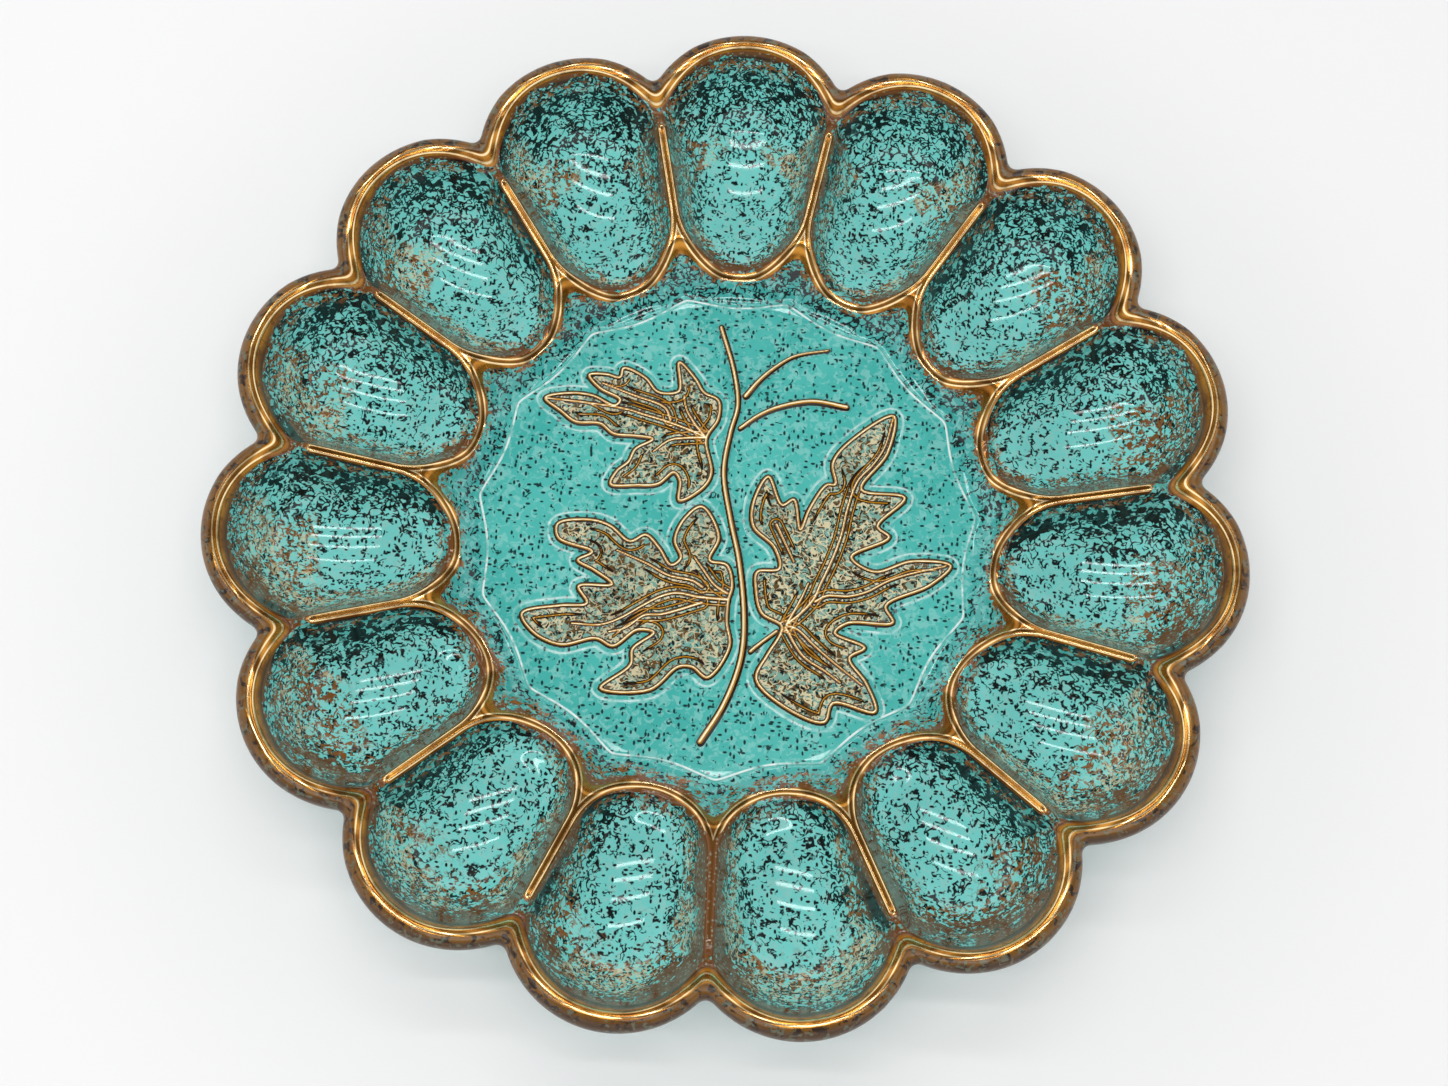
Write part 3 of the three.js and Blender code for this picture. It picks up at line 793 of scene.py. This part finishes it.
def build_sprig(material):
    axis = np.arange(-SPRIG_REACH, SPRIG_REACH + SPRIG_PITCH, SPRIG_PITCH)
    x, y = np.meshgrid(axis, axis, indexing="xy")
    fields = {name: leaf_field(x, y, *drawn) for name, drawn in LEAVES.items()}
    fields |= {name: stem_field(x, y, *drawn) for name, drawn in STEMS.items()}
    pieces = fields.values()
    heights = np.stack([piece.height for piece in pieces])
    height = heights.max(0)
    z = dish_floor(np.hypot(x, y)) + SPRIG_LIFT + height
    slope_y, slope_x = np.gradient(z, SPRIG_PITCH)
    normal = unit(np.stack([-slope_x, -slope_y, np.ones_like(z)], -1))
    leaf = np.max([piece.leaf for piece in pieces], 0)
    marks = np.tile(np.array(ON_FLOOR, float), (*x.shape, 1))
    line = np.max([piece.line for piece in pieces], 0)
    # the raised edges around the leaves take the painted highlight of the floor's edge bead
    shore = np.min([piece.halo for piece in pieces], 0) - BEAD_INSET
    for mark, values in (("dark", LEAF_DARK * leaf), ("leaf", leaf), ("line", line), ("shore", shore)):
        marks[..., MARKS.index(mark)] = values
    owners = cell_owners(heights.argmax(0), height > LEAST_HEIGHT)
    for number, name in enumerate(fields):
        shell = raised_piece(np.stack([x, y, z], -1), normal, marks, joined_at_sides(owners == number))
        shell.build(name, "leaf_glaze" if name in LEAVES else "bronze_glaze", material)


# Materials
class Nodes:
    """Short ways to add nodes to a material or a world."""

    def __init__(self, owner, shader):
        owner.use_nodes = True
        self.owner, self.tree = owner, owner.node_tree
        self.shader = self.tree.nodes[shader]

    def put(self, socket, value):
        if isinstance(value, bpy.types.NodeSocket):
            self.tree.links.new(value, socket)
        else:
            socket.default_value = value

    def shade(self, name, value):
        self.put(self.shader.inputs[name], value)

    def add(self, kind, inputs, **settings):
        node = self.tree.nodes.new("ShaderNode" + kind)
        for key, value in settings.items():
            setattr(node, key, value)
        for key, value in inputs.items():
            self.put(node.inputs[key], value)
        return node

    def mark(self, name):
        return self.add("Attribute", {}, attribute_name=name).outputs["Fac"]

    def place(self, shift, stretch=(1, 1, 1)):
        where = self.add("TexCoord", {}).outputs["Object"]
        return self.add("Mapping", {"Vector": where, "Location": shift, "Scale": stretch}).outputs["Vector"]

    def math(self, operation, a, b=0.0, c=0.0):
        return self.add("Math", {0: a, 1: b, 2: c}, operation=operation).outputs[0]

    def most(self, first, *others):
        for value in others:
            first = self.math("MAXIMUM", first, value)
        return first

    def times(self, first, *others):
        for value in others:
            first = self.math("MULTIPLY", first, value)
        return first

    def ramp(self, value, low, high, start=0.0, end=1.0):
        inputs = {"Value": value, "From Min": low, "From Max": high, "To Min": start, "To Max": end}
        return self.add("MapRange", inputs, interpolation_type="SMOOTHSTEP").outputs["Result"]

    def above(self, value, limit, soft):
        """One where a value is over a limit, with a soft edge."""
        return self.ramp(value, limit, self.math("ADD", limit, soft))

    def near(self, value, centre, width, core=0.35):
        """One where a value is close to a centre, falling to nothing at a width from it."""
        off = self.math("ABSOLUTE", self.math("SUBTRACT", value, centre))
        return self.ramp(off, width, width * core)

    def waver(self, value, pattern, amount):
        """A value that a noise moves up and down."""
        return self.math("MULTIPLY_ADD", self.math("SUBTRACT", pattern, 0.5), amount, value)

    def mix(self, share, a, b):
        a, b = (c if isinstance(c, bpy.types.NodeSocket) else (*c, 1) for c in (a, b))
        return self.add("Mix", {"Factor": share, 6: a, 7: b}, data_type="RGBA").outputs[2]

    def noise(self, size, detail=2.0, rough=0.5, warp=0.0, shift=(0, 0, 0)):
        inputs = {"Vector": self.place(shift), "Scale": MM_PER_M / size}
        inputs |= {"Detail": detail, "Roughness": rough, "Distortion": warp}
        return self.add("TexNoise", inputs).outputs["Fac"]

    def strokes(self, size, width, shift):
        """Thin curly marks, where a noise passes its middle value."""
        return self.near(self.noise(size, 1, 0.5, 0.7, shift), 0.5, width, 0.4)

    def dots(self, pitch, radius, share, shift, stretch=(1, 1, 1)):
        """Small specks, one in some of the cells of a pattern."""
        inputs = {"Vector": self.place(shift, stretch), "Scale": MM_PER_M / pitch}
        cells = self.add("TexVoronoi", inputs)
        lot = self.add("SeparateColor", {"Color": cells.outputs["Color"]}).outputs["Red"]
        size = self.ramp(lot, 1 - share, 1.2 - share, 0.0, radius)
        return self.ramp(cells.outputs["Distance"], size, self.times(size, 0.6))

    def bump(self, height, strength, distance):
        inputs = {"Strength": strength, "Distance": distance / MM_PER_M, "Height": height}
        return self.add("Bump", inputs).outputs["Normal"]


def new_material(name):
    return Nodes(bpy.data.materials.new(name), "Principled BSDF")


# Colours, as linear red, green and blue
SEA = (0.055, 0.43, 0.39)
SEA_BRIGHT = (0.09, 0.51, 0.46)
SEA_IN_CUP = (0.24, 0.79, 0.74)
# painted shade on the walls near the crests
SEA_SHADED = (0.022, 0.24, 0.24)
SEA_PALE = (0.35, 0.70, 0.66)
LEAF_GROUND = (0.27, 0.37, 0.28)
SPECK_ON_FLOOR = (0.008, 0.04, 0.04)
SPECK_IN_CUP = (0.004, 0.010, 0.010)
# painted highlight along the edge beads, partly paler glaze over the edge
BEAD_HIGHLIGHT = (0.80, 0.93, 0.91)
BRONZE = (0.24, 0.085, 0.008)
BRONZE_BRIGHT = (0.52, 0.23, 0.03)
BROWN_BAND = (0.16, 0.058, 0.014)
BLACK_BAND = (0.012, 0.004, 0.002)
PEBBLE = (0.27, 0.29, 0.21)
COPPER_FLECK = (0.27, 0.10, 0.02)
LEAF_BROWN = (0.09, 0.06, 0.02)
AMBER = (0.26, 0.085, 0.004)
AMBER_BRIGHT = (0.46, 0.19, 0.012)
AMBER_FLECK = (0.09, 0.03, 0.003)
AMBER_DARK = (0.045, 0.012, 0.001)
OUTSIDE_BROWN = (0.10, 0.042, 0.003)
OUTSIDE_BLACK = (0.025, 0.010, 0.003)
OUTSIDE_GREY = (0.13, 0.16, 0.11)
# painted highlight of the crest lines, partly pale glaze over the edges
CREST_HIGHLIGHT = (0.95, 0.74, 0.42)
GOLD = (0.48, 0.21, 0.008)
# painted highlight on the gold lines, and painted shade at their edges
GOLD_HIGHLIGHT = (1.0, 0.90, 0.58)
GOLD_EDGE_SHADE = (0.02, 0.008, 0.003)
CREAM = (0.74, 0.66, 0.42)
CLAY_PALE = (0.69, 0.60, 0.47)
CLAY_STAIN = (0.56, 0.47, 0.35)
CLAY_GRAIN = (0.36, 0.28, 0.20)
PAPER = (0.93, 0.93, 0.935)
PAPER_BRIGHT = (0.95, 0.95, 0.95)

GLAZE_IOR = 1.47
RIDGE_HIGHLIGHTS = ((0.9, 0.34), (-0.6, 0.32))  # painted highlight lines, partly the glaze breaking pale over the edges: how far inside a cup's border, and their widths
RIDGE_HIGHLIGHTS_SPAN = (7.0, 8.5)
RIM_HIGHLIGHTS = ((4.4, 0.32), (5.9, 0.32))  # the same inside the outline
ROLL_SPAN = (4.0, 3.4)  # inside the outline: the dull outside of the rim, and its amber inside
INNER_RIM_START = (6.1, 6.6)
INNER_RIM_END = (11.0, 9.5)


def add_patterns(n, s):
    """Noises, curls and specks of the glaze, by their size in millimetres."""
    s.cloud = n.noise(26, 3, 0.55)
    s.patch = n.noise(8, 4, 0.6, 0.4, (0.3, 0.1, 0.2))
    s.broken = n.noise(3.0, 2, 0.5, 0.5, (0.7, 0.4, 0.6))
    s.fleck = n.noise(2.5, 2, 0.6, 0.8, (0.5, 0.7, 0.1))
    s.grain = n.noise(2.8, 2, 0.5, 0.8)
    s.pale = n.noise(2.4, 2, 0.55, 0.8, (0.2, 0.9, 0.4))
    s.dark_curl = n.strokes(2.5, 0.085, (0.6, 0.2, 0.8))
    s.brown_curl = n.strokes(2.6, 0.075, (0.1, 0.5, 0.3))
    s.cream_curl = n.strokes(2.3, 0.06, (0.8, 0.6, 0.9))
    s.long_dots = n.dots(1.5, 0.35, 0.6, (0, 0, 0), (1, 0.55, 1))
    s.wide_dots = n.dots(1.5, 0.35, 0.6, (0.4, 0.8, 0.3), (0.55, 1, 1))
    s.pebbles = n.dots(1.25, 0.44, 0.7, (0.9, 0.2, 0.5))


def add_zones(n, s):
    """Shares of the surface that the marks name."""
    s.in_cup = n.ramp(s.edge, 2.0, 7.0)
    s.on_crest = n.ramp(s.crest, 0.25, 0.0)
    s.on_line = n.ramp(s.line, 0.02, 0.08)
    s.roll = n.ramp(s.rim, *ROLL_SPAN)
    s.inner_rim = n.times(n.ramp(s.rim, *INNER_RIM_START), n.ramp(s.rim, *INNER_RIM_END))
    s.spread = n.waver(n.waver(s.far, s.patch, 1.6), s.cloud, 2.0)


def brown_share(n, s):
    """How much of the surface the bronze glaze covers: all of the crests, then breaking up down the walls."""
    cover = n.ramp(s.spread, -0.2, 1.1, 1.0, 0.0)
    limit = n.math("MULTIPLY_ADD", cover, -0.42, 0.74)
    clumps = n.math("MULTIPLY_ADD", s.fleck, 0.6, n.times(s.broken, 0.4))
    brown = n.most(n.above(clumps, limit, 0.05), s.on_crest, s.on_line)
    curls = n.times(s.brown_curl, n.ramp(s.broken, 0.38, 0.46))
    return n.most(brown, n.times(curls, n.most(n.ramp(s.spread, 2.3, 1.2), s.leaf)))


def dark_specks(n, s):
    """Dark flecks: dashes everywhere, curls in the cups, and blots on the walls that the marks name, which
    paint shade under the ridges and in the saddles.
    """
    thick = n.waver(s.dark, s.patch, 0.5)
    curl_limit = n.math("MULTIPLY_ADD", thick, -0.5, 0.62)
    curls = n.times(s.dark_curl, n.above(s.broken, curl_limit, 0.06), n.ramp(thick, 1.2, 0.9))
    blots = n.above(s.grain, n.ramp(thick, 0.55, 1.0, 0.71, 0.47), 0.025)
    return n.most(s.long_dots, s.wide_dots, curls, blots)


def sea_colour(n, s):
    """The turquoise glaze, with painted shade near the cup borders, inside the rim and on the dish wall,
    greyer on the leaves, with its dark flecks.
    """
    sea = n.mix(n.ramp(s.cloud, 0.3, 0.7), SEA, SEA_BRIGHT)
    sea = n.mix(n.times(s.in_cup, 0.85), sea, SEA_IN_CUP)
    # painted shade: deeper turquoise near the cup borders, inside the rim and on the dish wall
    at_border = n.ramp(n.math("ABSOLUTE", s.edge), 8.0, 1.5, 0.0, 0.3)
    at_rim = n.ramp(s.rim, 12.5, 8.5, 0.0, 0.4)
    on_dish_wall = n.times(n.ramp(s.shore, -0.5, 2.5, 0.0, 0.4), n.ramp(s.edge, 2.0, 0.0))
    sea = n.mix(n.most(at_border, at_rim, on_dish_wall), sea, SEA_SHADED)
    most_pale = n.math("MULTIPLY_ADD", s.in_cup, 0.2, 0.4)
    sea = n.mix(n.ramp(s.pale, 0.48, 0.62, 0.0, most_pale), sea, SEA_PALE)
    sea = n.mix(n.times(s.leaf, n.ramp(s.patch, 0.35, 0.6, 0.4, 0.9)), sea, LEAF_GROUND)
    sea = n.mix(dark_specks(n, s), sea, n.mix(n.ramp(s.dark, 0.0, 0.2), SPECK_ON_FLOOR, SPECK_IN_CUP))
    # painted highlight, partly paler glaze, along the bead at the dish floor's edge and around each leaf
    bead_highlight = n.times(n.near(s.shore, -BEAD_INSET, 0.5), n.ramp(s.patch, 0.40, 0.56, 0.2, 1.0))
    return n.mix(n.times(bead_highlight, n.ramp(s.rim, 100.0, 140.0, 1.0, 0.5)), sea, BEAD_HIGHLIGHT)


def band_colour(n, s):
    """The bronze glaze where it runs down the walls and over the leaves."""
    # black where the dark mark carries painted shade
    band = n.mix(n.ramp(s.dark, 0.68, 0.76), BROWN_BAND, BLACK_BAND)
    band = n.mix(n.times(s.pebbles, n.ramp(s.dark, 0.8, 0.6, 0.0, 0.8)), band, PEBBLE)
    band = n.mix(n.ramp(s.far, 0.5, 1.2), band, COPPER_FLECK)
    return n.mix(n.times(s.leaf, 0.8), band, LEAF_BROWN)


def amber_colour(n, s):
    """The inside of the rim, darker towards the cups."""
    amber = n.mix(n.ramp(s.patch, 0.38, 0.62), AMBER, AMBER_BRIGHT)
    amber = n.mix(n.ramp(s.fleck, 0.58, 0.66, 0.0, 0.6), amber, AMBER_FLECK)
    return n.mix(n.ramp(s.rim, 6.3, 7.8, 0.0, 0.9), amber, AMBER_DARK)


def crest_highlights(n, s):
    """Painted highlight lines along both sides of the ridges and of the rim's top, partly the glaze breaking
    pale over these edges.
    """
    ridges = n.most(*(n.near(s.edge, *line) for line in RIDGE_HIGHLIGHTS))
    ridges = n.times(ridges, n.ramp(s.rim, *RIDGE_HIGHLIGHTS_SPAN))
    rims = n.most(*(n.near(s.rim, *line) for line in RIM_HIGHLIGHTS))
    return n.times(n.most(ridges, rims), n.ramp(s.patch, 0.3, 0.55, 0.4, 1.0), s.on_crest)


def bronze_colour(n, s):
    """The bronze glaze of the crests, the rim and the sprig's lines."""
    bronze = n.mix(n.ramp(s.patch, 0.35, 0.65), BRONZE, BRONZE_BRIGHT)
    bronze = n.mix(s.on_crest, band_colour(n, s), bronze)
    bronze = n.mix(n.times(s.inner_rim, s.on_crest), bronze, amber_colour(n, s))
    middle_of_ridge = n.ramp(n.math("ABSOLUTE", s.edge), 0.55, 0.2)
    bronze = n.mix(n.times(n.most(s.roll, middle_of_ridge), 0.8), bronze, OUTSIDE_BROWN)
    # black flecks on the rim's outside, thicker where the dark mark carries painted shade on the side facing
    # the viewer
    black = n.most(n.ramp(s.grain, 0.54, 0.60), n.ramp(s.dark, 0.3, 0.55, 0.0, 0.7))
    bronze = n.mix(n.times(s.roll, black), bronze, OUTSIDE_BLACK)
    bronze = n.mix(n.times(s.roll, n.ramp(s.pale, 0.56, 0.62), 0.6), bronze, OUTSIDE_GREY)
    # painted highlight lines along the crests
    bronze = n.mix(crest_highlights(n, s), bronze, CREST_HIGHLIGHT)
    # painted highlight at the top of each gold line, and painted shade at its edges
    gold = n.mix(n.ramp(s.line, 0.74, 0.84), GOLD, GOLD_HIGHLIGHT)
    gold = n.mix(n.ramp(s.line, 0.56, 0.46), gold, GOLD_EDGE_SHADE)
    return n.mix(s.on_line, bronze, gold)


def cream_share(n, s):
    """Loose cream curls among the copper in the cups and on parts of the leaves."""
    in_copper = n.times(s.in_cup, n.ramp(s.spread, 2.0, 1.2), n.ramp(s.crest, 2.0, 5.0))
    in_copper = n.times(in_copper, n.ramp(s.cloud, 0.44, 0.56, 0.0, 0.7))
    on_leaf = n.times(s.leaf, n.ramp(s.cloud, 0.30, 0.55, 0.45, 0.9))
    return n.times(s.cream_curl, n.times(n.most(in_copper, on_leaf), n.ramp(s.line, 0.08, 0.02)))


def glaze_material():
    n = new_material("speckled_glaze")
    s = SimpleNamespace(**{name: n.mark(name) for name in MARKS})
    add_patterns(n, s)
    add_zones(n, s)
    colour = n.mix(brown_share(n, s), sea_colour(n, s), bronze_colour(n, s))
    n.shade("Base Color", n.mix(cream_share(n, s), colour, CREAM))
    metal_on_crest = n.times(s.on_crest, n.ramp(n.most(s.roll, s.inner_rim), 0.0, 1.0, 0.8, 0.0))
    n.shade("Metallic", n.most(metal_on_crest, n.ramp(s.line, 0.3, 0.5, 0.0, 0.15)))
    rough = n.most(n.ramp(s.patch, 0.2, 0.8, 0.05, 0.10), n.times(s.roll, 0.3), n.times(s.on_crest, 0.16))
    n.shade("Roughness", rough)
    n.shade("IOR", GLAZE_IOR)
    n.shade("Normal", n.bump(n.noise(11, 1, 0.4), 0.3, 0.12))
    return n.owner


def clay_material():
    n = new_material("bare_clay")
    grain = n.noise(0.8, 4, 0.6)
    stain = n.noise(14, 3, 0.5)
    clay = n.mix(n.ramp(stain, 0.35, 0.7), CLAY_PALE, CLAY_STAIN)
    clay = n.mix(n.ramp(grain, 0.6, 0.75, 0.0, 0.5), clay, CLAY_GRAIN)
    n.shade("Base Color", clay)
    n.shade("Roughness", n.ramp(grain, 0.3, 0.7, 0.75, 0.92))
    n.shade("Normal", n.bump(grain, 0.4, 0.15))
    return n.owner


def floor_material():
    n = new_material("pale_floor")
    n.shade("Base Color", n.mix(n.noise(400, 2, 0.5), PAPER, PAPER_BRIGHT))
    n.shade("Roughness", 0.9)
    n.shade("Specular IOR Level", 0.1)
    return n.owner


glaze = glaze_material()
build_rim("rim_band", glaze)
build_dish("centre_dish", glaze)
build_foot("foot_ring", clay_material())
for cup in range(CUP_COUNT):
    build_cup("egg_cup_%02d" % (cup + 1), 2 * HALF * cup, glaze)
build_sprig(glaze)

# Floor, in metres
FLOOR_SIZE = 12
FLOOR_GAP = 0.0002

bpy.ops.mesh.primitive_plane_add(size=FLOOR_SIZE, location=(0, 0, -FLOOR_GAP))
floor = bpy.context.object
floor.name = "floor"
floor.data.materials.append(floor_material())

# Light, in metres, degrees and watts
ROOM_LEVELS = ((0.0, 0.5), (0.12, 0.9), (0.2, 1.35), (0.44, 1.35), (0.6, 0.32), (0.9, 0.14))  # by height
ROOM_SLANT = (-0.05, 0.03, 0.0)  # a little more light from the far left
LAMP_SIZE = (1.15, 0.055)
LAMP_WATTS = 2.5
LAMP_X = -0.1
LAMP_HEIGHT = 1.2
LAMP_LEANS = (-21, -10, 4.5, 25.5)  # seen from the tray, off the upright towards the far side


def build_room():
    """A soft room with bright walls and a darker ceiling."""
    n = Nodes(bpy.data.worlds.new("studio"), "Background")
    where = n.add("TexCoord", {}).outputs["Generated"]
    levels = n.add("ValToRGB", {"Fac": n.add("SeparateXYZ", {"Vector": where}).outputs["Z"]})
    stops = levels.color_ramp.elements
    for stop, (height, level) in zip(stops, (ROOM_LEVELS[0], ROOM_LEVELS[-1])):
        stop.position = height
        stop.color = (level, level, level, 1)
    for height, level in ROOM_LEVELS[1:-1]:
        stops.new(height).color = (level, level, level, 1)
    n.shade("Color", levels.outputs["Color"])
    slant = n.add("VectorMath", {0: where, 1: ROOM_SLANT}, operation="DOT_PRODUCT").outputs["Value"]
    n.shade("Strength", n.math("ADD", slant, 1.0))
    bpy.context.scene.world = n.owner


def build_lamp(name, lean):
    """A strip lamp over the tray, turned towards its axis."""
    lamp = bpy.data.lights.new(name, "AREA")
    lamp.shape = "RECTANGLE"
    lamp.size, lamp.size_y = LAMP_SIZE
    lamp.energy = LAMP_WATTS
    holder = bpy.data.objects.new(name, lamp)
    holder.location = (LAMP_X, LAMP_HEIGHT * math.tan(math.radians(lean)), LAMP_HEIGHT)
    holder.rotation_euler = (-math.radians(lean), 0, 0)
    bpy.context.scene.collection.objects.link(holder)


build_room()
for number, lean in enumerate(LAMP_LEANS):
    build_lamp("strip_%d" % number, lean)

# Camera, fitted to the photograph, in degrees, metres and, for the two last, pixels of the photograph
CAMERA_ANGLES = (-1.80, 73.79, 4.46, 0.05, 1.06)  # azimuth, elevation, roll, pan and tilt
CAMERA_DISTANCE = 0.6
CAMERA_CLIP = (0.01, 20)
AIM_HEIGHT = 0.037
SENSOR_MM = 36
FOCAL_LENGTH = 1939
PHOTO_WIDTH = 1448


def build_camera():
    az, el, roll, pan, tilt = (math.radians(angle) for angle in CAMERA_ANGLES)
    back = Vector((math.sin(az) * math.cos(el), -math.cos(az) * math.cos(el), math.sin(el)))
    right = Vector((math.cos(az), math.sin(az), 0))
    up = back.cross(right)
    view_back = (back + right * math.tan(pan) + up * math.tan(tilt)).normalized()
    view_right = up.cross(view_back).normalized()
    view_up = view_back.cross(view_right)
    turned_right = view_right * math.cos(roll) + view_up * math.sin(roll)
    turned_up = view_up * math.cos(roll) - view_right * math.sin(roll)
    camera = bpy.data.objects.new("camera", bpy.data.cameras.new("camera"))
    bpy.context.scene.collection.objects.link(camera)
    camera.data.sensor_width = SENSOR_MM
    camera.data.lens = SENSOR_MM * FOCAL_LENGTH / PHOTO_WIDTH
    camera.data.clip_start, camera.data.clip_end = CAMERA_CLIP
    turn = Matrix((turned_right, turned_up, view_back)).transposed().to_4x4()
    camera.matrix_world = Matrix.Translation(Vector((0, 0, AIM_HEIGHT)) + back * CAMERA_DISTANCE) @ turn
    bpy.context.scene.camera = camera


build_camera()
bpy.context.scene.view_settings.view_transform = "Standard"
